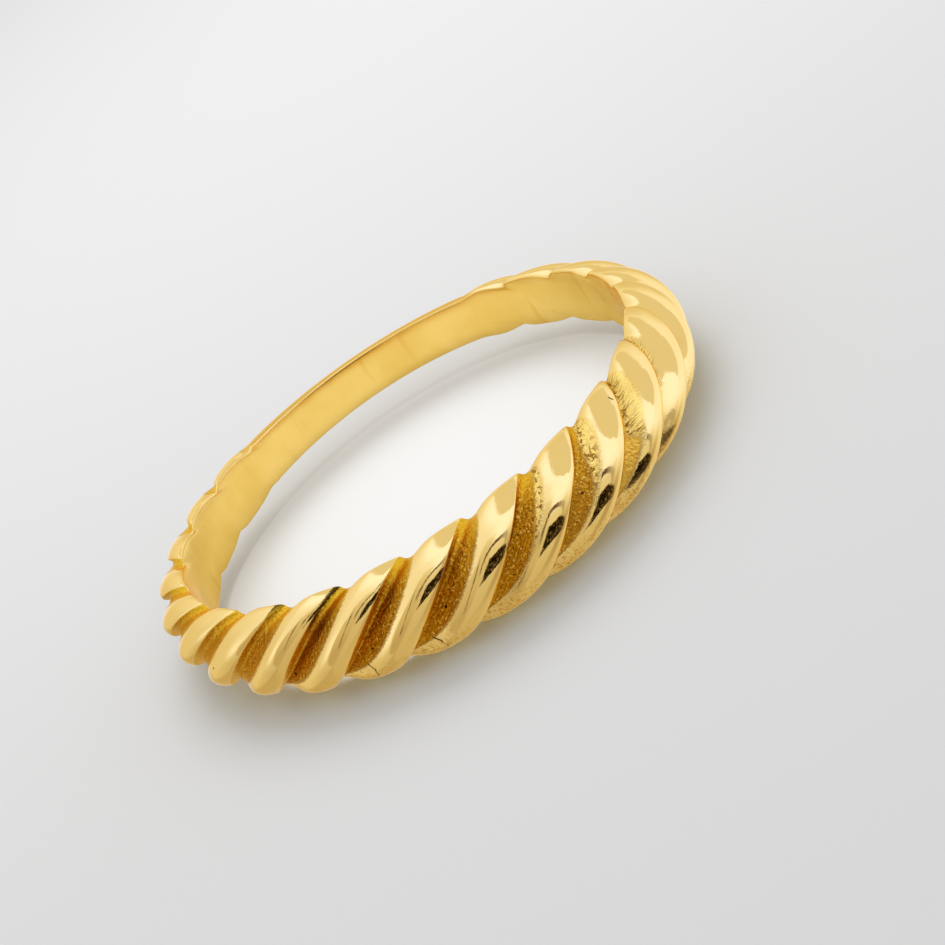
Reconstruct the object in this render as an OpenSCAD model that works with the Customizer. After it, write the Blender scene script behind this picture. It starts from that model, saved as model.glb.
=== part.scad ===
// A one-piece gold ring whose band is a rope of slanting lobes, fading into a plain stretch at the back.
// The finger hole runs along Z, the wide front faces -Y and the plain back faces +Y.
// The origin is the centre of the finger hole. All sizes are in millimetres and degrees.

/* [Finger hole] */
// Diameter of the finger hole
bore_d = 17; // [15:0.5:21]

/* [Band] */
// Width of the band at the front, crest to crest along the finger
front_width = 3.4; // [2.8:0.05:4]
// Width of the band at the back
back_width = 1.8; // [1.5:0.05:2.4]
// Wall at the front, from the finger hole out to the crests
front_wall = 1.95; // [1.5:0.05:2.3]
// Wall at the back
back_wall = 1.05; // [0.9:0.05:1.4]

/* [Rope twist] */
// Lobes that a whole turn would hold, the plain stretch counted in
lobes_per_turn = 24; // [20:1:26]
// Angle round the finger that a lobe travels from the upper rim to the lower rim
twist = 31; // [20:1:40]
// Depth of the grooves on the outside of the band at the front
groove_depth = 0.6; // [0.2:0.02:0.7]
// Depth of the notches that the grooves cut into both rims at the front
rim_notch = 0.28; // [0.1:0.02:0.4]
// Angle round the finger from the front to the nearest crest on the upper rim
crest_at = 1.6; // [0:0.1:10]

/* [Plain back] */
// How far the plain stretch lies below the crests
plain_drop = 0.11; // [0:0.01:0.2]
// Angle round the finger that the plain stretch covers
plain_span = 60; // [40:1:90]
// Angle over which the lobes end beside the plain stretch
plain_fade = 5; // [3:1:12]

/* [Hidden] */

bore_r = bore_d / 2;
pitch = 360 / lobes_per_turn;
FRONT = -90;
BACK = 90;

// One lobe, from its crest edge round to the next: AT is the share of the pitch after the edge. OUTSIDE and
// AT_RIM are the shares of the groove depth that the metal stands above the groove's floor, on the outermost
// line of the band and at both rims.
AT = 0;
OUTSIDE = 1;
AT_RIM = 2;
LOBE = [
    [0.00, 0.61, 0.79],
    [0.03, 0.26, 0.59],
    [0.06, 0.02, 0.29],
    [0.10, 0.00, 0.09],
    [0.20, 0.07, 0.18],
    [0.30, 0.24, 0.47],
    [0.40, 0.52, 0.75],
    [0.50, 0.79, 0.91],
    [0.62, 0.96, 0.99],
    [0.80, 0.98, 0.98],
    [0.93, 0.81, 0.92]
];
// Share of the wall that lies between the finger hole and the middle of the rope's round section
CORE_SHARE = 0.13;
// Direction in the section, from its outermost point, at which the surface meets the finger hole
RIM_SLOPE = acos(-CORE_SHARE / (1 - CORE_SHARE));
// The section is drawn this much further round, so that it ends inside the finger hole
DRAWN_PAST = 13;
SECTION_END = RIM_SLOPE + DRAWN_PAST;
// Share of the twist by which a lobe runs ahead in the upper half of the band and behind in the lower half
LEAN = 0.035;
SECTION_ROWS = 18;
// The cut for the finger hole runs this much past both rims
CUT_PAST = 1;
BORE_SIDES = 240;

columns = lobes_per_turn * len(LOBE);

function mix(a, b, share) = a + (b - a) * share;
function clamp01(x) = min(max(x, 0), 1);
function smooth(x) = clamp01(x) * clamp01(x) * (3 - 2 * clamp01(x));

// Share of the way from the front (0) to the back (1) at an angle round the finger
function backness(around) = (1 - cos(around - FRONT)) / 2;
function half_width(around) = mix(front_width, back_width, backness(around)) / 2;
function wall(around) = mix(front_wall, back_wall, backness(around));

// Angle from the middle of the back, 0 to 180
function from_back(around) = acos(min(max(cos(around - BACK), -1), 1));
// How far the lobes are raised: 0 in the plain stretch, 1 along the rope
function roped(around) = smooth((from_back(around) - plain_span / 2) / plain_fade);

// Share of the way from the outermost line (0) to a rim (1), at a direction in the section
function rimness(slope) = 1 - pow(max(cos(slope), 0), 2);

// Shares by which the section shrinks towards its middle, at one place of a lobe and in the plain stretch
function lobe_sink(place, slope) =
    let (up = mix(place[OUTSIDE], place[AT_RIM], rimness(slope)))
    (1 - up) * mix(groove_depth, rim_notch, rimness(slope)) / (front_wall * (1 - CORE_SHARE));
function plain_sink(around) = plain_drop / (wall(around) * (1 - CORE_SHARE));

// Share of the twist that a lobe has made when it reaches a direction in the section
function twisted(slope) =
    let (down = (RIM_SLOPE - slope) / (2 * RIM_SLOPE))
    down - LEAN * sin(360 * down);

// A point of the surface: slope is RIM_SLOPE at the upper rim, 0 outermost and -RIM_SLOPE at the lower rim
function surface_point(turn, place, slope) =
    let (around = turn - twist * twisted(slope),
         core = wall(around) * CORE_SHARE,
         kept = 1 - mix(plain_sink(around), lobe_sink(place, slope), roped(around)),
         out = bore_r + core + (wall(around) - core) * cos(slope) * kept)
    [out * cos(around), out * sin(around), half_width(around) * sin(slope) * kept];

points = [
    for (lobe = [0 : lobes_per_turn - 1], place = LOBE, row = [0 : SECTION_ROWS])
        surface_point(FRONT + crest_at + (lobe + place[AT]) * pitch, place,
                      SECTION_END * (1 - 2 * row / SECTION_ROWS))
];

function point_at(column, row) = (column % columns) * (SECTION_ROWS + 1) + row % (SECTION_ROWS + 1);

faces = [
    for (column = [0 : columns - 1], row = [0 : SECTION_ROWS], half = [0, 1])
        half == 0
            ? [point_at(column, row), point_at(column + 1, row), point_at(column + 1, row + 1)]
            : [point_at(column, row), point_at(column + 1, row + 1), point_at(column, row + 1)]
];

// The rope-twist band with its finger hole
module band() {
    color([0.86, 0.68, 0.30])
        difference() {
            polyhedron(points, faces);
            cylinder(r = bore_r, h = front_width + 2 * CUT_PAST, center = true, $fn = BORE_SIDES);
        }
}

band();
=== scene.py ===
# Rope twist ring: the gold band as it is dressed for the picture.
# The straight rope is modelled once, one lobe long. It is then repeated, thinned towards the plain
# back and closed into the ring.
# Metres. The finger hole is along Z, the wide front is towards -Y and the plain back towards +Y.
import math
from types import SimpleNamespace

import bmesh
import bpy
from mathutils import Matrix, Vector


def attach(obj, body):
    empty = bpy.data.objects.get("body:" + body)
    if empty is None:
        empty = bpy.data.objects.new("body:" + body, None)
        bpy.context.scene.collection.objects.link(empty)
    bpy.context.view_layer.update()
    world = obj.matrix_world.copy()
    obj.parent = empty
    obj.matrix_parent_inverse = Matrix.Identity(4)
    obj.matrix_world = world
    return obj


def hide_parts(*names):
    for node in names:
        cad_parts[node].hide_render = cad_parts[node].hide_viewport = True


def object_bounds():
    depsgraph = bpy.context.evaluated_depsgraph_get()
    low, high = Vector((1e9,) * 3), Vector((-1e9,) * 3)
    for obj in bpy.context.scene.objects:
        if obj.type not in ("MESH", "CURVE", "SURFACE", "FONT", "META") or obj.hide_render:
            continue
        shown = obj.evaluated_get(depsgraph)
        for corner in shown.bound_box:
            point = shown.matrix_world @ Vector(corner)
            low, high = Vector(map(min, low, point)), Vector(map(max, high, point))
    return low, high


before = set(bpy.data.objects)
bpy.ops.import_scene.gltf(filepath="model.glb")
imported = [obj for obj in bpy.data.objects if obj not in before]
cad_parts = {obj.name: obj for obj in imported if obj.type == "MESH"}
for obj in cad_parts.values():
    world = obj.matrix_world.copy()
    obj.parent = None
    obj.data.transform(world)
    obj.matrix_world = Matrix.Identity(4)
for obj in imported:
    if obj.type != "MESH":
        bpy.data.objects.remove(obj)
cad_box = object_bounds()

MM = 0.001
BORE_R = 8.5 * MM
FRONT_WIDTH, BACK_WIDTH = 3.4 * MM, 1.8 * MM
FRONT_WALL, BACK_WALL = 1.95 * MM, 1.05 * MM
LOBES = 24
TWIST = math.radians(31)  # how far round the ring one strand runs from rim to rim
CREST_AT = math.radians(1.6)  # from the middle of the front to the nearest crest
GROOVE_DEPTH, RIM_NOTCH = 0.60 * MM, 0.28 * MM
PLAIN_DROP = 0.11 * MM  # how far the plain back stays below the tops of the lobes
PLAIN_HALF, PLAIN_FADE = math.radians(30), math.radians(5)
PLAIN_THINNED = 0.97  # how far the thinning has come, about the mean over the plain back
CORE_SHARE = 0.13  # the section is drawn about a core, this share of the wall out from the finger side
LEAN = 0.035  # how far a strand bows from a straight slant, as a share of its twist

PITCH = 2 * math.pi / LOBES
LOBE_LENGTH = PITCH * BORE_R
CORE = FRONT_WALL * CORE_SHARE
OVER_CORE = FRONT_WALL - CORE
RIM_SLOPE = math.acos(-CORE_SHARE / (1 - CORE_SHARE))

# One lobe, from its crest to the next: place along the rope, and how full it is outside and at the rims
LOBE = [
    (0.000, 0.67, 0.80),
    (0.026, 0.28, 0.66),
    (0.058, -0.04, 0.25),
    (0.110, 0.00, -0.01),
    (0.205, 0.06, 0.17),
    (0.310, 0.24, 0.51),
    (0.415, 0.58, 0.81),
    (0.530, 0.88, 0.95),
    (0.655, 1.00, 1.02),
    (0.785, 1.01, 0.99),
    (0.900, 0.88, 0.94),
    (0.968, 0.72, 0.89),
]
ROUND_SIDES = 28  # sides of the circle that the section starts from
BORE_LINES = (0.035, 0.35, 0.65, 0.965)  # lines along the finger side, from the upper rim to the lower
SMOOTHING = 2  # rounds of smoothing that the finished mesh gets

# Points and rows this near to each other are the same, and so is a place this near to the rim's
SAME_SPOT, SAME_ROW, SAME_RIM = 0.0002 * MM, 2e-5, 0.001


def only(obj):
    """Nothing but this object is selected, and it is the active one."""
    bpy.ops.object.select_all(action="DESELECT")
    obj.select_set(True)
    bpy.context.view_layer.objects.active = obj


def open_mesh(obj):
    only(obj)
    bpy.ops.object.mode_set(mode="EDIT")
    bpy.ops.mesh.select_mode(type="VERT")


def close_mesh():
    bpy.ops.object.mode_set(mode="OBJECT")


def choose(obj, wanted):
    """In edit mode, selects the points that wanted() accepts, with the edges and faces between them."""
    mesh = bmesh.from_edit_mesh(obj.data)
    for v in mesh.verts:
        v.select_set(bool(wanted(v)))
    mesh.select_flush(True)
    bmesh.update_edit_mesh(obj.data)


def near(a, b):
    return abs(a - b) < SAME_SPOT


def finish_modifier(obj, modifier):
    only(obj)
    bpy.ops.object.modifier_apply(modifier=modifier.name)


def mix(a, b, share):
    return a + (b - a) * share


# The rope
def rope_section():
    """The band's cross-section: a circle stood across the rope and cut off flat on the finger side."""
    bpy.ops.object.select_all(action="DESELECT")
    bpy.ops.mesh.primitive_circle_add(
        vertices=ROUND_SIDES, radius=1, fill_type="NGON", location=(0, 0, 0), rotation=(0, math.pi / 2, 0)
    )
    rope = bpy.context.object
    bpy.ops.object.transform_apply(location=True, rotation=True, scale=True)
    open_mesh(rope)
    bpy.ops.mesh.select_all(action="SELECT")
    bpy.ops.transform.resize(value=(1, OVER_CORE, FRONT_WIDTH / 2), center_override=(0, 0, 0))
    bpy.ops.transform.translate(value=(0, -CORE, 0))
    bpy.ops.mesh.bisect(plane_co=(0, 0, 0), plane_no=(0, 1, 0), clear_outer=True, threshold=SAME_SPOT / 2)
    bpy.ops.mesh.select_all(action="SELECT")
    bpy.ops.mesh.delete(type="ONLY_FACE")
    choose(rope, lambda v: near(v.co.y, 0))
    bpy.ops.mesh.subdivide(number_cuts=len(BORE_LINES))
    top = max(v.co.z for v in bmesh.from_edit_mesh(rope.data).verts if near(v.co.y, 0))
    for line, share in enumerate(BORE_LINES):
        evenly = top * (1 - 2 * (line + 1) / (len(BORE_LINES) + 1))
        choose(rope, lambda v: near(v.co.y, 0) and near(v.co.z, evenly))
        bpy.ops.transform.translate(value=(0, 0, top * (1 - 2 * share) - evenly))
    close_mesh()
    return rope


def mark_across(rope):
    """Keeps each point's place across the band as an attribute.

    It is 0 to 1 over the outside, from the upper rim to the lower, and 1 to 2 back along the bore.
    """
    across = rope.data.attributes.new("across", "FLOAT", "POINT")
    top = max(v.co.z for v in rope.data.vertices if near(v.co.y, 0))
    for v in rope.data.vertices:
        if not near(v.co.y, 0):
            slope = math.atan2(v.co.z / (FRONT_WIDTH / 2), -(v.co.y + CORE) / OVER_CORE)
            place = (RIM_SLOPE - slope) / (2 * RIM_SLOPE)
        elif near(abs(v.co.z), top):
            place = float(v.co.z < 0)
        else:
            place = 1 + (v.co.z + top) / (2 * top)
        across.data[v.index].value = place


def across_layer(rope):
    """In edit mode, the layer that holds each point's place across the band."""
    return bmesh.from_edit_mesh(rope.data).verts.layers.float["across"]


def twisted(across):
    """How far along its twist a strand is at this place across the band."""
    if across > 1:
        return 2 - across
    return across - LEAN * math.sin(2 * math.pi * across)


def one_lobe(name, stations):
    """One lobe's length of rope: the section drawn out, and filled at each station as the list says."""
    rope = rope_section()
    rope.name = name
    mark_across(rope)
    places = [station[0] for station in stations] + [1.0]
    open_mesh(rope)
    bpy.ops.mesh.select_all(action="SELECT")
    for here, there in zip(places, places[1:]):
        onwards = ((there - here) * LOBE_LENGTH, 0, 0)
        bpy.ops.mesh.extrude_region_move(TRANSFORM_OT_translate={"value": onwards})
    for place, outside, at_rim in stations + [(1.0, *stations[0][1:])]:
        full_out = 1 - (1 - outside) * GROOVE_DEPTH / OVER_CORE
        full_rim = 1 - (1 - at_rim) * RIM_NOTCH / OVER_CORE
        along = place * LOBE_LENGTH
        choose(rope, lambda v: near(v.co.x, along))
        bpy.ops.transform.resize(value=(1, full_out, full_rim), center_override=(along, -CORE, 0))
    flatten_bore(rope)
    close_mesh()
    strand_map(rope)
    lean_rows(rope)
    return rope


def flatten_bore(rope):
    """In edit mode, sets the rims and the finger side back onto the plane that becomes the bore."""
    layer = across_layer(rope)
    choose(rope, lambda v: v[layer] > 1 - SAME_ROW or v[layer] < SAME_ROW)
    bpy.ops.transform.resize(value=(1, 0, 1), center_override=(0, 0, 0))


def strand_map(rope):
    """The rope's own map: u counts lobes along the rope, v is the place across the band.

    The upper rim's place is 0 seen from outside, and 2 seen from the finger side.
    """
    across = rope.data.attributes["across"].data
    strands = rope.data.uv_layers.new(name="strands")
    for face in rope.data.polygons:
        by_upper_rim = max(across[v].value for v in face.vertices) > 1 + BORE_LINES[1]
        for corner in face.loop_indices:
            v = rope.data.loops[corner].vertex_index
            row = across[v].value
            if by_upper_rim and row < SAME_ROW:
                row = 2.0
            strands.data[corner].uv = (rope.data.vertices[v].co.x / LOBE_LENGTH, row)


def lean_rows(rope):
    """Slides each line of points along the rope, so that the lobe becomes a strand from rim to rim."""
    open_mesh(rope)
    layer = across_layer(rope)
    rows = {round(v[layer], 5) for v in bmesh.from_edit_mesh(rope.data).verts}
    for row in sorted(rows):
        layer = across_layer(rope)
        choose(rope, lambda v: abs(v[layer] - row) < SAME_ROW)
        bpy.ops.transform.translate(value=(-TWIST * BORE_R * twisted(row), 0, 0))
    close_mesh()


def repeat(rope):
    """The lobe set end to end all the way along the rope, the middle of its length at the front."""
    array = rope.modifiers.new("lobes", "ARRAY")
    array.count = LOBES
    array.use_relative_offset = False
    array.use_constant_offset = True
    array.constant_offset_displace = (LOBE_LENGTH, 0, 0)
    array.use_merge_vertices = True
    array.merge_threshold = 5 * SAME_SPOT
    array.offset_u = 1.0
    finish_modifier(rope, array)
    bpy.ops.object.mode_set(mode="EDIT")
    bpy.ops.mesh.select_all(action="SELECT")
    bpy.ops.transform.translate(value=((CREST_AT - math.pi) * BORE_R, 0, 0))
    close_mesh()


def smooth(share):
    share = min(max(share, 0), 1)
    return share * share * (3 - 2 * share)


def from_back(x):
    """Angle between a point along the rope and the middle of the plain back."""
    turn = x / BORE_R
    return math.acos(max(-1, min(1, -math.cos(turn))))


def plain_back(rope, plain):
    """At its plain back the rope takes the plain band's shape, with a short fade at each end."""
    group = rope.vertex_groups.new(name="plain back")
    for v in rope.data.vertices:
        weight = 1 - smooth((from_back(v.co.x) - PLAIN_HALF) / PLAIN_FADE)
        if weight > 0:
            group.add([v.index], weight, "REPLACE")
    only(rope)
    plain.select_set(True)
    bpy.ops.object.join_shapes()
    key = rope.data.shape_keys.key_blocks[-1]
    key.vertex_group = group.name
    key.value = 1
    only(rope)
    rope.active_shape_key_index = len(rope.data.shape_keys.key_blocks) - 1
    bpy.ops.object.shape_key_remove(all=True, apply_mix=True)
    rope.vertex_groups.clear()
    bpy.data.objects.remove(plain)


def thin_to_back(rope):
    """Narrows and thins the rope from the front towards the back, with a lattice along it."""
    reach, stations = math.radians(440), 45
    depth = 5 * MM
    bpy.ops.object.select_all(action="DESELECT")
    bpy.ops.object.add(type="LATTICE", location=(0, 0, 0))
    cage = bpy.context.object
    cage.data.points_u, cage.data.points_v, cage.data.points_w = stations, 2, 2
    cage.data.interpolation_type_u = "KEY_CATMULL_ROM"
    cage.data.interpolation_type_v = cage.data.interpolation_type_w = "KEY_LINEAR"
    cage.scale = (reach * BORE_R, depth, depth)
    for point in cage.data.points:
        turn = point.co.x * reach
        back = (1 - math.cos(turn)) / 2
        wall = mix(FRONT_WALL, BACK_WALL, back) / FRONT_WALL
        width = mix(FRONT_WIDTH, BACK_WIDTH, back) / FRONT_WIDTH
        point.co_deform = (point.co.x, point.co.y * wall, point.co.z * width)
    thin = rope.modifiers.new("thin to back", "LATTICE")
    thin.object = cage
    finish_modifier(rope, thin)
    bpy.data.objects.remove(cage)


def close_ring(rope):
    """Bends the rope round the finger hole and joins its ends at the back."""
    along = [v.co.x for v in rope.data.vertices]
    bend = rope.modifiers.new("ring", "SIMPLE_DEFORM")
    bend.deform_method = "BEND"
    bend.deform_axis = "Z"
    bend.angle = (max(along) - min(along)) / BORE_R
    finish_modifier(rope, bend)
    open_mesh(rope)
    bpy.ops.mesh.select_all(action="SELECT")
    bpy.ops.transform.translate(value=(0, -BORE_R, 0))
    bpy.ops.mesh.remove_doubles(threshold=10 * SAME_SPOT)
    bpy.ops.mesh.normals_make_consistent(inside=False)
    close_mesh()


def soften(obj):
    """Rounds the mesh off."""
    surface = obj.modifiers.new("surface", "SUBSURF")
    surface.levels = surface.render_levels = SMOOTHING
    finish_modifier(obj, surface)


def rope_ring():
    """The whole band: a rope and a plain band made alike, then joined, thinned and closed."""
    wall_at_back = mix(FRONT_WALL, BACK_WALL, PLAIN_THINNED) * (1 - CORE_SHARE)
    as_outside = 1 - PLAIN_DROP / wall_at_back * OVER_CORE / GROOVE_DEPTH
    as_rim = 1 - PLAIN_DROP / wall_at_back * OVER_CORE / RIM_NOTCH
    rope = one_lobe("band_gold", LOBE)
    plain = one_lobe("plain", [(place, as_outside, as_rim) for place, _, _ in LOBE])
    repeat(rope)
    repeat(plain)
    plain_back(rope, plain)
    thin_to_back(rope)
    close_ring(rope)
    soften(rope)
    only(rope)
    bpy.ops.object.shade_smooth()
    return rope


band = rope_ring()


# Shader nodes
class Nodes:
    """Adds named nodes to one node tree. A value is a number, a colour or another node's output."""

    def __init__(self, tree):
        self.tree = tree

    def feed(self, socket, value):
        """Links another node's output to the socket, or sets the socket to a number or colour."""
        if isinstance(value, bpy.types.NodeSocket):
            self.tree.links.new(value, socket)
        else:
            socket.default_value = value

    def add(self, kind, label, inputs=None, **settings):
        """A named node with its settings; inputs says what its sockets get, by name or number."""
        made = self.tree.nodes.new(kind)
        made.name = made.label = label
        for key, setting in settings.items():
            setattr(made, key, setting)
        for socket, value in (inputs or {}).items():
            self.feed(made.inputs[socket], value)
        return made

    def maths(self, label, operation, *values, clamp=False):
        inputs = dict(enumerate(values))
        return self.add("ShaderNodeMath", label, inputs, operation=operation, use_clamp=clamp).outputs[0]

    def product(self, label, *values):
        """All the values multiplied together."""
        whole = values[0]
        for value in values[1:]:
            whole = self.maths(label, "MULTIPLY", whole, value)
        return whole

    def total(self, label, *values):
        """All the values added up."""
        whole = values[0]
        for value in values[1:]:
            whole = self.maths(label, "ADD", whole, value)
        return whole

    def scaled(self, label, value, times, plus):
        """The value times one number, plus another."""
        return self.maths(label, "MULTIPLY_ADD", value, times, plus)

    def difference(self, label, value, less):
        return self.maths(label, "SUBTRACT", value, less)

    def vector(self, label, operation, inputs, output=0):
        """A Vector Math node, with its inputs by number or name."""
        return self.add("ShaderNodeVectorMath", label, inputs, operation=operation).outputs[output]

    def parts(self, label, vector):
        """The x, y and z of a vector."""
        return self.add("ShaderNodeSeparateXYZ", label, {0: vector}).outputs

    def step(self, label, value, low, high):
        """0 before low, 1 past high and a soft ramp between; with low above high the ramp falls."""
        falls = low > high
        inputs = {
            "Value": value,
            "From Min": min(low, high),
            "From Max": max(low, high),
            "To Min": float(falls),
            "To Max": float(not falls),
        }
        made = self.add("ShaderNodeMapRange", label, inputs, interpolation_type="SMOOTHSTEP")
        return made.outputs["Result"]

    def ramp(self, label, value, low, high):
        """The value carried from low..high to 0..1 in a straight line, and held at the ends."""
        inputs = {"Value": value, "From Min": low, "From Max": high}
        return self.add("ShaderNodeMapRange", label, inputs, clamp=True).outputs["Result"]

    def blend(self, label, share, a, b):
        """The number a where the share is 0, and b where it is 1."""
        return self.add("ShaderNodeMix", label, {0: share, 2: a, 3: b}, data_type="FLOAT").outputs[0]

    def colour(self, label, share, a, b):
        """The colour a where the share is 0, and b where it is 1."""
        return self.add("ShaderNodeMix", label, {0: share, 6: a, 7: b}, data_type="RGBA").outputs[2]

    def painted(self, colour, *coats):
        """A colour with coats over it, each one a label, a share and a colour."""
        for label, share, coat in coats:
            colour = self.colour(label, share, colour, coat)
        return colour

    def noise(self, label, where, scale, detail=2.0, roughness=0.5):
        inputs = {"Vector": where, "Scale": scale, "Detail": detail, "Roughness": roughness}
        return self.add("ShaderNodeTexNoise", label, inputs).outputs["Fac"]

    def stretched(self, label, where, scale):
        return self.add("ShaderNodeMapping", label, {"Vector": where, "Scale": scale}).outputs["Vector"]

    def curve(self, label, value, points, kind="AUTO"):
        """A line drawn through (place, height) pairs, both between 0 and 1."""
        made = self.add("ShaderNodeFloatCurve", label, {"Value": value})
        line = made.mapping.curves[0].points
        line[0].location, line[1].location = points[0], points[-1]
        for point in points[1:-1]:
            line.new(*point)
        for point in line:
            point.handle_type = kind
        made.mapping.update()
        return made.outputs[0]


# The camera
ELEVATION, ROLL = math.radians(25.124), math.radians(-34.612)
CAMERA_PLACE = (1.284 * MM, -109.175 * MM, 49.823 * MM)
LENS, SENSOR = 139.46, 36  # in millimetres, as the camera's own settings are

turned = Matrix.Rotation(math.pi / 2 - ELEVATION, 3, "X") @ Matrix.Rotation(ROLL, 3, "Z")
camera = bpy.data.objects.new("camera", bpy.data.cameras.new("camera"))
bpy.context.scene.collection.objects.link(camera)
camera.location = CAMERA_PLACE
camera.rotation_euler = turned.to_euler()
camera.data.sensor_width = SENSOR
camera.data.lens = LENS
camera.data.clip_start, camera.data.clip_end = 1 * MM, 5000 * MM
bpy.context.scene.camera = camera

# The floor
FLOOR_SIZE = 3000 * MM
FLOOR_COLOUR = (0.92, 0.92, 0.92, 1)
FLOOR_ROUGHNESS = 0.7


def floor_material():
    """Matt and pale. Only the floor inside the ring shows in the gold, which mirrors the tent elsewhere."""
    pale = bpy.data.materials.new("pale floor")
    pale.use_nodes = True
    nodes = Nodes(pale.node_tree)
    shader = pale.node_tree.nodes["Principled BSDF"]
    shader.inputs["Base Color"].default_value = FLOOR_COLOUR
    shader.inputs["Roughness"].default_value = FLOOR_ROUGHNESS
    shader.inputs["Specular IOR Level"].default_value = 0
    on_floor = nodes.add("ShaderNodeTexCoord", "on the floor").outputs["Object"]
    x, y, _ = nodes.parts("spot on the floor", on_floor)
    squares = [nodes.maths("squared", "POWER", value, 2) for value in (x, y)]
    from_middle = nodes.maths("from the middle", "SQRT", nodes.total("squares", *squares))
    beyond = nodes.step("outside the ring", from_middle, BORE_R, BORE_R + 0.1 * MM)
    mirrored = nodes.add("ShaderNodeLightPath", "rays to the floor").outputs["Is Glossy Ray"]
    clear = nodes.add("ShaderNodeBsdfTransparent", "left out of the mirror")
    left_out = nodes.product("left out", beyond, mirrored)
    shaders = {0: left_out, 1: shader.outputs[0], 2: clear.outputs[0]}
    shown = nodes.add("ShaderNodeMixShader", "floor", shaders)
    nodes.feed(pale.node_tree.nodes["Material Output"].inputs["Surface"], shown.outputs[0])
    return pale


bpy.ops.object.select_all(action="DESELECT")
bpy.ops.mesh.primitive_plane_add(size=FLOOR_SIZE, location=(0, 0, cad_box[0].z))
floor = bpy.context.object
floor.name = "floor"
floor.data.materials.append(floor_material())

# The lamps: a soft one over the back of the floor, and a narrow one straight over the finger hole
SOFT_PLACE, SOFT_SIZE, SOFT_POWER = (12 * MM, 55 * MM, 75 * MM), 80 * MM, 0.026
NARROW_HEIGHT, NARROW_SIZE, NARROW_POWER = 60 * MM, 2 * MM, 0.032


def aimed_lamp(name, kind, place, energy):
    """A lamp that looks at the middle of the ring and isn't mirrored in the gold."""
    bpy.ops.object.select_all(action="DESELECT")
    bpy.ops.object.light_add(type=kind, location=place)
    lamp = bpy.context.object
    lamp.name = name
    lamp.rotation_euler = Vector(place).to_track_quat("Z", "Y").to_euler()
    lamp.data.energy = energy
    lamp.visible_glossy = False
    return lamp.data


soft = aimed_lamp("soft lamp", "AREA", SOFT_PLACE, SOFT_POWER)
soft.shape = "DISK"
soft.size = SOFT_SIZE
narrow = aimed_lamp("narrow lamp", "SPOT", (0, 0, NARROW_HEIGHT), NARROW_POWER)
narrow.spot_size = 2 * math.atan(BORE_R / NARROW_HEIGHT)
narrow.spot_blend = 0.3
narrow.shadow_soft_size = NARROW_SIZE

# The studio
# It is a tent of pale walls, brightest below a dimmer roof, with a dark opening towards the camera.
# A direction in it has a turn, 0 at the camera and growing to the right, and a height, in degrees.
RIGHT, UP, TOWARDS = (turned @ Vector(axis) for axis in ((1, 0, 0), (0, 1, 0), (0, 0, 1)))
DEGREES = 180 / math.pi
BRIGHTEST = 2  # the brightness at the top of a wall's curve

# The walls in order of turn, starting from the rear: where each begins, and its brightness by height.
# The front has no place of its own, because it begins at the left corner.
REAR = [
    (-90, 0.48), (-27, 0.54), (-15, 0.62), (-9, 0.7), (-3, 0.88), (6, 1.04), (14, 1), (22, 0.95), (28, 0.82),
    (36, 0.79), (45, 0.86), (55, 1), (66, 1.1), (90, 1.14),
]
WALLS = [
    ("far left", (-162, -146), [
        (-90, 0.55), (-50, 0.66), (-33, 0.73), (-24, 0.8), (0, 0.81), (12, 0.83), (24, 0.92), (34, 0.98),
        (40, 1.08), (45, 1.2), (52, 1.26), (90, 1.3),
    ]),
    ("left", (-112, -88), [
        (-90, 0.62), (-48, 0.7), (-36, 0.83), (-28, 1.02), (-20, 1.12), (-6, 1.12), (2, 1.02), (20, 1),
        (33, 1.04), (41, 1.1), (46, 1.22), (52, 1.3), (90, 1.32),
    ]),
    ("front", None, [
        (-90, 0.5), (-45, 0.48), (-25, 0.57), (-3, 0.64), (10, 0.71), (20, 0.74), (28, 0.86), (34, 1.1),
        (40, 1.27), (90, 1.3),
    ]),
    ("front right", (-22, 0), [
        (-90, 0.58), (-45, 0.64), (-30, 0.68), (2, 0.8), (12, 0.82), (18, 0.97), (24, 1.22), (32, 1.29),
        (90, 1.3),
    ]),
    ("beside the opening", (58, 74), [
        (-90, 0.6), (-50, 0.55), (-40, 0.47), (-28, 0.42), (-12, 0.44), (-5, 0.5), (0, 0.62), (6, 0.85),
        (12, 1.05), (20, 1.22), (40, 1.15), (90, 1.12),
    ]),
    ("right", (94, 116), [
        (-90, 0.58), (-45, 0.58), (-30, 0.64), (-20, 0.7), (-10, 0.8), (0, 0.96), (8, 1.1), (15, 1.2),
        (24, 1.22), (40, 1.1), (60, 1.12), (90, 1.12),
    ]),
    ("rear", (146, 166), REAR),
]
# The slanting corner where the bright left wall gives way to the front: its turn by height
LEFT_CORNER = [
    (-90, -77), (-18, -77), (-9, -72), (3, -62), (10, -53), (20, -50), (33, -36), (45, -25), (90, -20),
]
# The edge of the roof: its height by turn
EAVES = [
    (-180, 76), (-168, 73), (-160, 68), (-154, 52), (-148, 39), (-143, 38.5), (-136, 44), (-128, 49.5),
    (-120, 53), (-110, 56.3), (-95, 59), (-70, 60.3), (-50, 59), (-35, 57), (-15, 55.5), (0, 55), (12, 52.5),
    (30, 50), (44, 48), (56, 42), (66, 40.5), (80, 44), (90, 50), (100, 63), (110, 73), (122, 79), (150, 79),
    (180, 76),
]
ROOF_LIGHT = 0.82
RIM_COLOUR, SEAM_COLOUR = (0.11, 0.065, 0.05, 1), (0.08, 0.05, 0.04, 1)
BOUNCED_LIGHT = (0.42, 0.50, 0.62, 1)  # so cool that the gold throws no yellow on the floor
FLOOR_LIGHT, BACKDROP = (0.63, 0.63, 0.63, 1), (0.86, 0.86, 0.86, 1)


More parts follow.
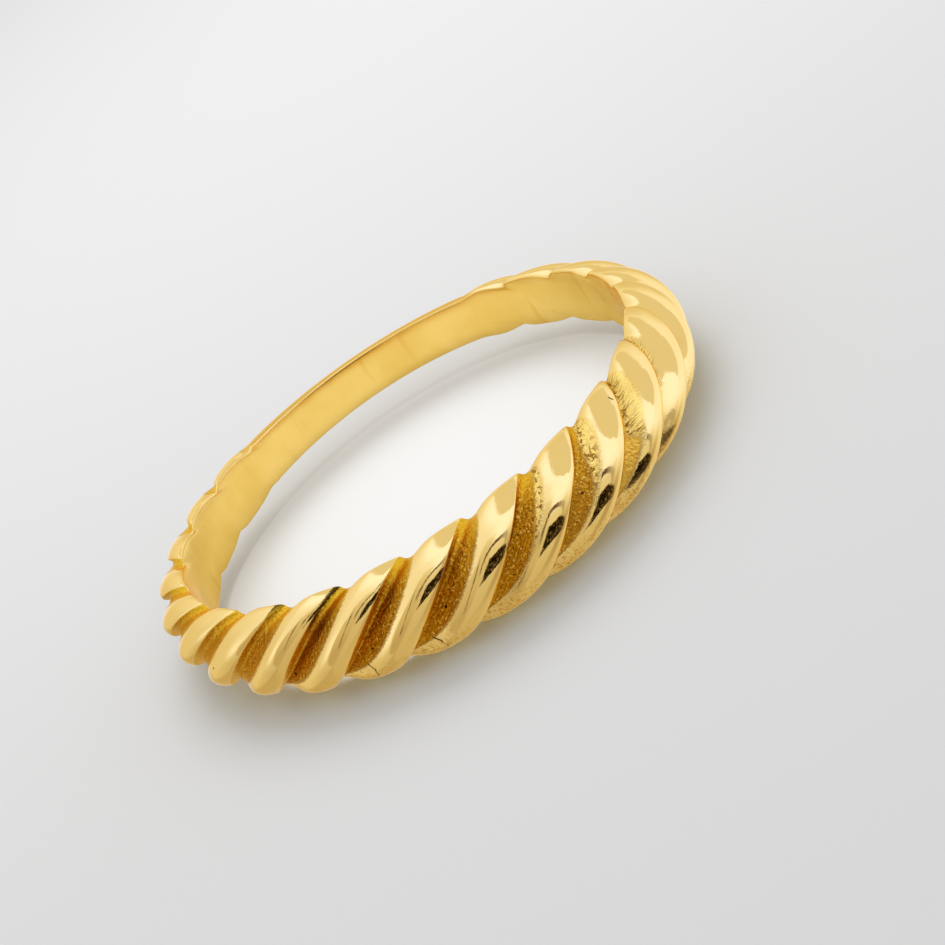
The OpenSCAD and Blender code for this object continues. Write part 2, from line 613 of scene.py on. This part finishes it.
def directions(nodes):
    """Where a ray looks in the tent: the plain direction, its turn and its height."""
    looking = nodes.add("ShaderNodeTexCoord", "direction").outputs["Generated"]

    def share_of(label, axis):
        return nodes.vector(label, "DOT_PRODUCT", {0: looking, 1: axis}, "Value")

    upwards = nodes.maths("arcsine", "ARCSINE", share_of("up", UP))
    sideways, ahead = share_of("to the right", RIGHT), share_of("to the camera", TOWARDS)
    around = nodes.maths("arctangent", "ARCTAN2", sideways, ahead)
    return looking, nodes.product("turn", around, DEGREES), nodes.product("height", upwards, DEGREES)


def walls(nodes, turn, height):
    """Brightness of the walls, one fading into the next."""
    up_share = nodes.scaled("share of the height", height, 1 / 180, 0.5)

    def by_height(label, stops, full):
        points = [((h + 90) / 180, stop / full) for h, stop in stops]
        return nodes.product(label + " in full", nodes.curve(label, up_share, points, "VECTOR"), full)

    corner = by_height("left corner", LEFT_CORNER, -90)
    light = by_height("rear at the start", REAR, BRIGHTEST)
    for name, begins, stops in WALLS:
        if begins:
            begun = nodes.step(name + " begins", turn, *begins)
        else:
            past_corner = nodes.difference("past the left corner", turn, corner)
            begun = nodes.step(name + " begins", past_corner, -5, 5)
        light = nodes.blend("as far as " + name, begun, light, by_height(name, stops, BRIGHTEST))
    return light


def over_roof_edge(nodes, turn, height):
    """1 on the roof panel, 0 below its edge."""
    round_share = nodes.scaled("share of the turn", turn, 1 / 360, 0.5)
    points = [((t + 180) / 360, h / 90) for t, h in EAVES]
    drawn = nodes.curve("roof edge", round_share, points, "AUTO_CLAMPED")
    above = nodes.difference("above the roof edge", height, nodes.product("roof edge height", drawn, 90))
    return nodes.step("roof", above, -1, 1)


def opening(nodes, turn, height):
    """1 in the dark opening: sharp on the left, above and below, and fading out to the right."""
    lower = nodes.scaled("lower edge", turn, 0.12, -28.5)
    falling = nodes.scaled("falling edge", turn, -0.25, 12)
    upper = nodes.maths("upper edge", "MINIMUM", falling, 2.5)
    over_lower = nodes.difference("above the lower edge", height, lower)
    over_upper = nodes.difference("above the upper edge", height, upper)
    return nodes.product(
        "opening",
        nodes.step("left end", turn, -6.5, -2.5),
        nodes.ramp("right end", turn, 106, 76),
        nodes.step("over its lower edge", over_lower, -1.2, 1.2),
        nodes.step("under its upper edge", over_upper, 1.2, -1.2),
    )


def opening_rim(nodes, turn, height):
    """The brown rim that hangs over the opening in a wide arc, fainter to the right."""
    from_top = nodes.difference("from the rim's top", turn, 2)
    sideways = nodes.maths(
        "rim sideways", "MAXIMUM",
        nodes.maths("rim to the right", "DIVIDE", from_top, 54),
        nodes.maths("rim to the left", "DIVIDE", from_top, -28),
    )
    upwards = nodes.maths("rim upwards", "DIVIDE", height, 21)
    squares = nodes.total(
        "rim squares",
        nodes.maths("sideways squared", "POWER", sideways, 2),
        nodes.maths("upwards squared", "POWER", upwards, 2),
    )
    reach = nodes.maths("rim reach", "SQRT", squares)
    off_rim = nodes.maths("off the rim", "ABSOLUTE", nodes.difference("past the rim", reach, 1))
    return nodes.product(
        "rim",
        nodes.step("thin rim", off_rim, 0.17, 0.08),
        nodes.step("upper part", height, -14, 4),
        nodes.blend("rim strength", nodes.step("left part", turn, 46, 4), 0.42, 0.97),
    )


def dark_seam(nodes, turn, height):
    """Nearly 1 on the thin dark edge that runs down on the left of the opening."""
    from_seam = nodes.scaled("from the seam", height, 0.12, nodes.total("turn from the seam", turn, 45))
    return nodes.product(
        "thin dark edge",
        nodes.step("seam line", nodes.maths("off the seam", "ABSOLUTE", from_seam), 3, 1.2),
        nodes.step("seam foot", height, -52, -42),
        nodes.step("seam top", height, 18, 4),
        0.85,
    )


def tent_colour(nodes, light):
    """The panels are cooler where they are brighter."""
    warm = nodes.maths(
        "warm", "MINIMUM",
        nodes.product("warm panels", nodes.maths("warm share", "POWER", light, 0.77), 0.93),
        nodes.product("warm dark", light, 1.4),
    )
    cool = nodes.product(
        "cool",
        nodes.scaled("cool panels", nodes.maths("cool share", "POWER", light, 2.3), 1.12, 0.22),
        nodes.step("not in the dark", light, 0, 0.35),
    )
    return nodes.add("ShaderNodeCombineColor", "light colour", {0: warm, 1: light, 2: cool}).outputs[0]


def studio():
    """The tent as the gold mirrors it, with an even light on the floor and a plain backdrop."""
    world = bpy.data.worlds.new("studio")
    bpy.context.scene.world = world
    world.use_nodes = True
    world.node_tree.nodes.clear()
    nodes = Nodes(world.node_tree)
    looking, turn, height = directions(nodes)
    gleams = nodes.step("gleam share", nodes.noise("gleams in the dark", looking, 16, 4, 0.7), 0.56, 0.64)
    dark = nodes.scaled("dark level", gleams, 0.5, 0.006)
    light = walls(nodes, turn, height)
    light = nodes.blend("walls to roof", over_roof_edge(nodes, turn, height), light, ROOF_LIGHT)
    light = nodes.blend("walls to opening", opening(nodes, turn, height), light, dark)
    rays = nodes.add("ShaderNodeLightPath", "light path").outputs
    bounced = nodes.maths("bounced off the gold", "GREATER_THAN", rays["Diffuse Depth"], 0.5)
    colour = nodes.painted(
        tent_colour(nodes, light),
        ("light to rim", opening_rim(nodes, turn, height), RIM_COLOUR),
        ("light to seam", dark_seam(nodes, turn, height), SEAM_COLOUR),
        ("light bounced to the floor", bounced, BOUNCED_LIGHT),
        ("even light for the floor", rays["Is Diffuse Ray"], FLOOR_LIGHT),
        ("plain behind the floor", rays["Is Camera Ray"], BACKDROP),
    )
    background = nodes.add("ShaderNodeBackground", "background", {"Color": colour})
    nodes.add("ShaderNodeOutputWorld", "world", {"Surface": background.outputs[0]})
    # the tent lights a spot only through the rays that leave it, so each kind of ray gets its own light
    world.cycles.sampling_method = "NONE"


studio()

# The gold
# Lobes are counted along the rope: number 12 begins at the front, and the numbers grow to the right.
EDGE_TINT = (1.0, 0.86, 0.55, 1)
MICRON = MM / 1000
ROUGH_GROOVE, ROUGH_SATIN, ROUGH_DULL, ROUGH_FLANK = 0.34, 0.26, 0.3, 0.09

# The groove's far edge, by place across the band, as a share of the lobe
GROOVE_EDGE = [
    (0, 0.1), (0.1, 0.33), (0.2, 0.41), (0.3, 0.435), (0.42, 0.435), (0.52, 0.42), (0.6, 0.37), (0.67, 0.28),
    (0.74, 0.12), (0.8, 0), (1, 0),
]
# Pits and hairlines left by casting and polishing, and hooked dark lines that are painted reflections: start,
# end and half width, in millimetres
MARKS_AND_REFLECTION_LINES = [
    ((-6.80, -6.97, -0.34), (-6.78, -6.98, -0.32), 0.075),
    ((-1.70, -9.78, 0.02), (-1.69, -9.78, 0.03), 0.055),
    ((-4.29, -8.96, -0.15), (-4.28, -8.97, -0.14), 0.05),
    ((3.68, -9.18, 0.25), (3.69, -9.18, 0.26), 0.05),
    ((-8.96, -4.71, 0.34), (-8.95, -4.73, 0.35), 0.05),
    # the next three pairs of stretches are hooked dark lines: painted reflections
    ((-4.69, -8.72, -0.64), (-4.60, -8.92, -0.82), 0.036),
    ((-4.60, -8.92, -0.82), (-4.62, -8.73, -1.16), 0.036),
    ((-2.56, -9.45, -0.77), (-2.41, -9.62, -0.93), 0.036),
    ((-2.41, -9.62, -0.93), (-2.32, -9.56, -1.24), 0.036),
    ((6.05, -7.14, 1.45), (6.12, -7.25, 1.36), 0.03),
    ((6.12, -7.25, 1.36), (6.23, -7.01, 1.05), 0.02),
]


def new_group(name, inputs, outputs):
    """An empty node group with sockets for vectors or numbers, and its first and last nodes."""
    group = bpy.data.node_groups.new(name, "ShaderNodeTree")
    for socket, kind in inputs.items():
        group.interface.new_socket(socket, in_out="INPUT", socket_type=kind)
    for socket in outputs:
        group.interface.new_socket(socket, in_out="OUTPUT", socket_type="NodeSocketFloat")
    return group, group.nodes.new("NodeGroupInput").outputs, group.nodes.new("NodeGroupOutput").inputs


def cast_grain():
    """Grain of unpolished gold in the grooves: a height and a mask of its low specks."""
    sockets = {"Place": "NodeSocketVector", "Size": "NodeSocketFloat"}
    group, given, result = new_group("cast grain", sockets, ("Height", "Specks"))
    nodes = Nodes(group)
    scaled = nodes.vector("scaled", "SCALE", {0: given["Place"], "Scale": given["Size"]})
    fine = nodes.noise("fine grain", scaled, 1, 3, 0.65)
    inputs = {"Vector": scaled, "Scale": 0.7, "Smoothness": 0.4}
    cells = nodes.add("ShaderNodeTexVoronoi", "grains", inputs, feature="SMOOTH_F1")
    half_cells = nodes.product("part of the cells", cells.outputs["Distance"], 0.6)
    nodes.feed(result["Height"], nodes.total("grain height", fine, half_cells))
    nodes.feed(result["Specks"], nodes.step("low specks", fine, 0.44, 0.34))
    return group


def fine_mark():
    """A mask of one pit, hairline or painted reflection line: 1 within Width of the straight stretch from
    Start on by Along.
    """
    sockets = dict.fromkeys(("Place", "Start", "Along"), "NodeSocketVector") | {"Width": "NodeSocketFloat"}
    group, given, result = new_group("fine mark", sockets, ("Mask",))
    nodes = Nodes(group)
    along = given["Along"]
    away = nodes.vector("from the start", "SUBTRACT", {0: given["Place"], 1: given["Start"]})
    ahead = nodes.vector("ahead", "DOT_PRODUCT", {0: away, 1: along}, "Value")
    whole = nodes.vector("whole", "DOT_PRODUCT", {0: along, 1: along}, "Value")
    reached = nodes.maths("reached", "DIVIDE", ahead, whole, clamp=True)
    foot = nodes.vector("foot", "SCALE", {0: along, "Scale": reached})
    off = nodes.vector("off the mark", "DISTANCE", {0: away, 1: foot}, "Value")
    in_widths = nodes.maths("in widths", "DIVIDE", off, given["Width"])
    nodes.feed(result["Mask"], nodes.step("mark", in_widths, 1, 0.5))
    return group


def marks_and_reflection_lines(nodes, piece):
    """One mask of all the pits, hairlines and painted reflection lines."""
    group = fine_mark()
    marks = 0
    for number, (start, end, width) in enumerate(MARKS_AND_REFLECTION_LINES):
        inputs = {
            "Place": piece,
            "Start": [x * MM for x in start],
            "Along": [(y - x) * MM for x, y in zip(start, end)],
            "Width": width * MM,
        }
        mark = nodes.add("ShaderNodeGroup", "mark %d" % number, inputs, node_tree=group).outputs["Mask"]
        marks = nodes.maths("marks to %d" % number, "MAXIMUM", marks, mark)
    return marks


def new_gold(name):
    """A metal with no colour yet, the helper that adds its nodes, and its shader."""
    gold = bpy.data.materials.new(name)
    gold.use_nodes = True
    shader = gold.node_tree.nodes["Principled BSDF"]
    shader.inputs["Metallic"].default_value = 1
    shader.inputs["Specular Tint"].default_value = EDGE_TINT
    return gold, Nodes(gold.node_tree), shader


def finish_gold(nodes, shader, colour, roughness, height):
    """Gives the shader its colour, its roughness and its relief, a height in metres."""
    nodes.feed(shader.inputs["Base Color"], colour)
    nodes.feed(shader.inputs["Roughness"], roughness)
    relief = nodes.add("ShaderNodeBump", "relief", {"Strength": 1, "Distance": 1, "Height": height})
    nodes.feed(shader.inputs["Normal"], relief.outputs["Normal"])


def rope_places(nodes):
    """Where a spot is: on the piece, on its strand, in its lobe and from the crest, and how roped it is."""
    at = SimpleNamespace()
    at.piece = nodes.add("ShaderNodeTexCoord", "on the piece").outputs["Object"]
    at.strands = nodes.add("ShaderNodeUVMap", "strands", uv_map="strands").outputs["UV"]
    at.along, at.across, _ = nodes.parts("along and across", at.strands)
    at.lobe = nodes.maths("place in the lobe", "FRACT", at.along)
    half_on = nodes.maths("half a lobe on", "FRACT", nodes.total("shifted", at.along, 0.5))
    at.from_crest = nodes.difference("from the crest", half_on, 0.5)
    x, y, _ = nodes.parts("spot", at.piece)
    turn = nodes.maths("from the back", "ABSOLUTE", nodes.maths("round the ring", "ARCTAN2", x, y))
    at.roped = nodes.step("roped", turn, PLAIN_HALF, PLAIN_HALF + 1.2 * PLAIN_FADE)
    return at


def rope_textures(nodes, at):
    """The patterns that colour, roughness and relief share; n / MM is n features to a millimetre."""
    look = SimpleNamespace()
    inputs = {"Place": at.piece, "Size": 11.5 / MM}
    grain = nodes.add("ShaderNodeGroup", "groove grain", inputs, node_tree=cast_grain())
    look.grain, look.specks = grain.outputs["Height"], grain.outputs["Specks"]
    look.ragged = nodes.noise("ragged edge", at.piece, 13 / MM, 3, 0.7)
    lengthwise = nodes.stretched("along the strand", at.strands, (34, 5, 1))
    crosswise = nodes.stretched("across the strand", at.strands, (6, 80, 1))
    look.streaks = nodes.noise("streaks along the strand", lengthwise, 1, 3, 0.65)
    look.file_lines = nodes.noise("file marks", crosswise, 1, 3, 0.65)
    look.pitted = nodes.noise("pits", nodes.stretched("pit shape", at.piece, (1, 1, 0.6)), 6.5 / MM, 2, 0.7)
    look.polish = nodes.noise("polish", at.piece, 1.4 / MM)
    look.blotches = nodes.noise("blotches", at.piece, 2.6 / MM, 3, 0.6)
    look.dots = nodes.noise("satin dots", at.piece, 9 / MM, 3, 0.65)
    return look


def groove_masks(nodes, at, look, mask):
    """The amber groove, from the crest to a ragged edge, and how far a spot is short of that edge.

    On the filed lobes its upper half is narrower, and past them the grooves are only dull.
    """
    mask.wander = nodes.scaled("edge wander", look.ragged, 0.10, -0.05)
    mask.edge = nodes.curve("groove edge", at.across, GROOVE_EDGE)
    upper_half = nodes.step("upper half", at.across, 0.52, 0.16)
    filing = nodes.product("filing", nodes.step("filed from", at.along, 12.5, 14.4), upper_half)
    upper_last = nodes.product(
        "upper last lobe",
        nodes.step("last lobe from", at.along, 14.6, 15.0),
        nodes.step("over its middle", at.across, 0.5, 0.4),
    )
    narrowed = nodes.product(
        "edge narrowed", mask.edge,
        nodes.blend("narrowing", filing, 1.0, 0.34),
        nodes.blend("narrowing of the last lobe", upper_last, 1.0, 0.42),
    )
    mask.inside = nodes.difference("short of the edge", nodes.total("ragged", narrowed, mask.wander), at.lobe)
    mask.groove = nodes.product(
        "groove", at.roped,
        nodes.step("groove side", mask.inside, -0.03, 0.03),
        nodes.step("roped grooves end", at.along, 16.4, 15.7),
    )
    mask.dull = nodes.product(
        "dull groove", at.roped,
        nodes.step("dull side", mask.inside, -0.06, 0.06),
        nodes.step("dull top", at.across, 0.55, 0.3),
        nodes.step("dull from", at.along, 16.2, 17.0),
    )


def painted_reflection_mask(nodes, at, look):
    """A painted dark reflection: a dark wedge that runs down from the tips of two lobes on the left, on the
    steep side of the crest.
    """
    wander = nodes.scaled("painted reflection wander", look.ragged, 0.08, -0.04)
    off_crest = nodes.total("off the crest", at.from_crest, wander)
    tip_width = nodes.scaled("width at the tip", at.along, -0.06, 0.66)
    length = nodes.scaled("wedge length", at.along, 0.13, -1.03)
    down = nodes.maths("down the wedge", "DIVIDE", at.across, length)
    width = nodes.product("wedge width", tip_width, nodes.difference("wedge left", 1, down))
    return nodes.product(
        "painted dark reflection",
        nodes.step("painted reflection begins", nodes.total("into the wedge", off_crest, width), -0.015, 0.02),
        nodes.step("painted reflection ends", off_crest, 0.05, 0.02),
        nodes.step("painted reflection foot", down, 1.1, 0.8),
        nodes.step("first lobe of the painted reflection", at.along, 8.5, 8.7),
        nodes.step("last lobe of the painted reflection", at.along, 10.5, 10.4),
    )


def flank_masks(nodes, at, look, mask):
    """The filed sides of the lobes right of the front, worked most next to the amber.

    The first of them are pitted, the last are scored, and blots of brown lie next to the amber.
    """
    edge = nodes.total("flank edge", mask.edge, mask.wander, 0.02)
    mask.flank = nodes.product(
        "filed flank",
        nodes.step("flank side", nodes.difference("short of the flank's edge", edge, at.lobe), -0.04, 0.05),
        nodes.step("flank from", at.along, 12.4, 13.1),
        nodes.step("flank to", at.along, 16.3, 16.1),
        nodes.step("upper flank", at.across, 0.56, 0.44),
        nodes.step("out of the groove", mask.groove, 1, 0),
    )
    mask.scored = nodes.step("scored lobes", at.along, 14.7, 15.0)
    by_amber = nodes.step("by the amber", mask.inside, -0.30, -0.05)
    worked_share = nodes.scaled("worked share", by_amber, 0.85, 0.15)
    mask.worked = nodes.product("worked flank", mask.flank, worked_share)
    pits = nodes.step("pit share", look.pitted, 0.47, 0.41)
    scores = nodes.step("score share", look.file_lines, 0.50, 0.43)
    either = nodes.blend("pits or scores", mask.scored, pits, scores)
    mask.pits = nodes.product("flank marks", mask.worked, either)
    mask.brown = nodes.product(
        "brown by the amber", mask.flank,
        nodes.step("close to the amber", mask.inside, -0.16, -0.04),
        nodes.step("brown blots", nodes.noise("blots", at.piece, 5.2 / MM, 3, 0.7), 0.53, 0.60),
    )


def amber_colour(nodes, at, look, mask):
    """The rough gold in the grooves: streaked and specked, and paler away from the front on both sides."""
    streaked = nodes.step("streak share", look.streaks, 0.3, 0.7)
    amber = nodes.colour("amber", streaked, (0.40, 0.150, 0.003, 1), (0.74, 0.33, 0.008, 1))
    by_crest = nodes.product(
        "by the crest",
        nodes.step("crest glow", at.lobe, 0.10, 0.0),
        nodes.step("right of the crest", at.lobe, 0, 0.004),
        nodes.step("lower crest", at.across, 0.2, 0.4),
        0.7,
    )
    glints = nodes.step("glints", nodes.noise("glint noise", at.piece, 13 / MM, 1, 0.5), 0.57, 0.68)
    pale_foot = nodes.product(
        "pale foot",
        nodes.step("lower half", at.across, 0.32, 0.48),
        nodes.step("last groove", at.along, 14.6, 15.0),
        0.32,
    )
    pale_lobes = nodes.product("pale grooves", nodes.step("pale lobes", at.along, 13.8, 15.3), 0.6)
    left = nodes.product("lighter to the left", nodes.ramp("left lobes", at.along, 10.8, 8.2), 0.45)
    # painted shade: the amber is darker along its far edge, in the crease where the groove meets the next
    # lobe
    edge = nodes.product("groove edge shade share", nodes.step("near the edge", mask.inside, 0.07, 0.0), 0.35)
    top = nodes.product("top share", nodes.step("top of the groove", at.across, 0.30, 0.06), 0.7)
    return nodes.painted(
        amber,
        ("amber by the crest", by_crest, (1.0, 0.58, 0.03, 1)),
        ("amber specks", nodes.product("speck share", look.specks, 0.85), (0.13, 0.045, 0.002, 1)),
        ("glinting grains", nodes.product("glint share", glints, 0.8), (1.0, 0.62, 0.10, 1)),
        ("paler amber", nodes.total("paler share", pale_foot, pale_lobes), (1.0, 0.58, 0.07, 1)),
        ("lighter amber on the left", left, (0.93, 0.57, 0.045, 1)),
        ("painted shade by the groove edge", edge, (0.24, 0.09, 0.003, 1)),
        ("brighter at the top", top, (0.98, 0.56, 0.025, 1)),
    )


def yellow_colour(nodes, at, look, mask):
    """The polished gold, clouded and dotted where it is satin, marked where it is filed."""
    yellow = nodes.colour("yellow", look.polish, (1.0, 0.68, 0.195, 1), (1.0, 0.70, 0.22, 1))
    cloudy = nodes.step("blotch share", look.blotches, 0.40, 0.60)
    clouded = nodes.product("clouded share", mask.satin, cloudy)
    dotted = nodes.product("dotted share", mask.satin, nodes.step("dots", look.dots, 0.47, 0.41), 0.75)
    # painted shade: the plain back is darker and warmer along its upper rim
    painted_rim_shade = nodes.product(
        "painted shade on the plain rim",
        nodes.step("near the rim", at.across, 0.16, 0.06),
        nodes.step("plain", at.roped, 1, 0),
        0.75,
    )
    return nodes.painted(
        yellow,
        ("clouded lower part", clouded, (0.95, 0.58, 0.145, 1)),
        ("dotted lower part", dotted, (0.56, 0.30, 0.045, 1)),
        ("golden flank", mask.flank, (1.0, 0.67, 0.135, 1)),
        ("marks on the flank", nodes.product("flank mark share", mask.pits, 0.95), (0.30, 0.12, 0.006, 1)),
        ("brown flank", nodes.product("brown share", mask.brown, 0.85), (0.26, 0.11, 0.006, 1)),
        ("dull grooves", mask.dull, (0.84, 0.53, 0.125, 1)),
        ("painted shade by the plain rim", painted_rim_shade, (0.80, 0.42, 0.05, 1)),
    )


def rope_colour(nodes, at, look, mask):
    """Yellow lobes and amber grooves, with a painted dark reflection by the crests and the marks over both.
    """
    yellow, amber = yellow_colour(nodes, at, look, mask), amber_colour(nodes, at, look, mask)
    gold = nodes.colour("gold", mask.groove, yellow, amber)
    # the colour of the painted dark reflection: near black, streaked with brown
    dark_reflection_share = nodes.step("dark reflection share", look.streaks, 0.44, 0.6)
    dark_reflection_colour = nodes.colour("painted reflection colour", dark_reflection_share, (0.05, 0.024, 0.003, 1), (0.5, 0.26, 0.012, 1))
    return nodes.painted(
        gold,
        # painted dark reflection on the steep side of the crests of the lobes left of the front
        ("painted dark reflection on the crest", painted_reflection_mask(nodes, at, look), dark_reflection_colour),
        # pits and hairlines, and the painted reflection lines, all in one dark colour
        ("marks", nodes.product("mark share", mask.marks, 0.95), (0.03, 0.012, 0.003, 1)),
    )


def rope_roughness(nodes, look, mask):
    """Nearly a mirror where the lobes are polished."""
    rough = nodes.scaled("polished", look.polish, 0.03, 0.022)
    rough = nodes.blend("bright to satin", mask.satin, rough, ROUGH_SATIN)
    rough = nodes.blend("bright to flank", mask.flank, rough, ROUGH_FLANK)
    rough = nodes.blend("bright to dull", mask.dull, rough, ROUGH_DULL)
    return nodes.blend("bright to groove", mask.groove, rough, ROUGH_GROOVE)


def lobe_rounding(nodes, at):
    """1 at the crests of the lobes left of the front, which fall away towards them."""
    towards_crest = nodes.ramp("towards the crest", at.from_crest, -0.42, 0)
    return nodes.product(
        "rounding",
        nodes.maths("fall to the crest", "POWER", towards_crest, 1.5),
        nodes.step("back up", at.from_crest, 0.3, 0.0),
        nodes.ramp("rounder to the left", at.along, 13.3, 9.7),
        nodes.step("rounder from", at.along, 9.3, 9.6),
    )


def rope_relief(nodes, at, look, mask):
    """The height of all that is finer than the mesh, and of the hand's filing and rounding of the lobes."""
    worn = nodes.step("worn crest", at.lobe, 0.925, 1.0)
    on_flank = nodes.blend("pitted or filed", mask.scored, look.pitted, look.file_lines)
    return nodes.total(
        "height",
        nodes.product("grain in the groove", look.grain, mask.groove, 42 * MICRON),
        nodes.product("polish waves", look.polish, 4 * MICRON),
        nodes.product("polishing scratches", look.streaks, 2.2 * MICRON),
        nodes.product("satin grain", look.blotches, mask.satin, 12 * MICRON),
        nodes.product("satin dots", look.dots, mask.satin, 7 * MICRON),
        nodes.product("polishing dust", look.dots, 0.9 * MICRON),
        nodes.product("flank relief", on_flank, mask.worked, 66 * MICRON),
        nodes.product("mark relief", mask.marks, -30 * MICRON),
        nodes.product("rounding depth", lobe_rounding(nodes, at), -235 * MICRON),
        nodes.product("crest wear", worn, at.roped, -14 * MICRON),
    )


def rope_gold():
    """The gold of the outside."""
    gold, nodes, shader = new_gold("rope gold")
    at = rope_places(nodes)
    look = rope_textures(nodes, at)
    mask = SimpleNamespace()
    mask.satin = nodes.step("satin lower part", at.across, 0.56, 0.78)
    mask.marks = marks_and_reflection_lines(nodes, at.piece)
    groove_masks(nodes, at, look, mask)
    flank_masks(nodes, at, look, mask)
    colour = rope_colour(nodes, at, look, mask)
    finish_gold(nodes, shader, colour, rope_roughness(nodes, look, mask), rope_relief(nodes, at, look, mask))
    return gold


def bore_gold():
    """The satin finger side: clouded, with amber streaks across it and fine lines round it."""
    gold, nodes, shader = new_gold("bore gold")
    piece = nodes.add("ShaderNodeTexCoord", "on the piece").outputs["Object"]
    cloud = nodes.noise("clouded satin", piece, 0.45 / MM, 3, 0.55)
    crosswise = nodes.stretched("across the bore", piece, (1.5 / MM, 1.5 / MM, 0.25 / MM))
    lengthwise = nodes.stretched("round the bore", piece, (0.3 / MM, 0.3 / MM, 9 / MM))
    streaks = nodes.step("streaks", nodes.noise("streaks across", crosswise, 1), 0.58, 0.75)
    lines = nodes.noise("turned lines", lengthwise, 1)
    clouded = nodes.step("cloud share", cloud, 0.35, 0.65)
    satin = nodes.colour("gold", clouded, (0.92, 0.61, 0.135, 1), (1.0, 0.70, 0.19, 1))
    streak_share = nodes.product("streak share", streaks, 0.5)
    streaked = nodes.colour("amber streaks", streak_share, satin, (0.80, 0.44, 0.06, 1))
    roughness = nodes.scaled("satin", cloud, 0.14, 0.18)
    finish_gold(nodes, shader, streaked, roughness, nodes.product("line depth", lines, 1.2 * MICRON))
    return gold


band.data.materials.clear()
band.data.materials.append(rope_gold())
band.data.materials.append(bore_gold())
# a face of the finger side is past the lower rim with all its corners
corners = band.data.uv_layers["strands"].data
for face in band.data.polygons:
    nearest = min(corners[corner].uv.y for corner in face.loop_indices)
    face.material_index = int(nearest > 1 - SAME_RIM)

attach(band, "root")
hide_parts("band")

scene = bpy.context.scene
scene.view_settings.view_transform = "Standard"
scene.view_settings.look = "None"
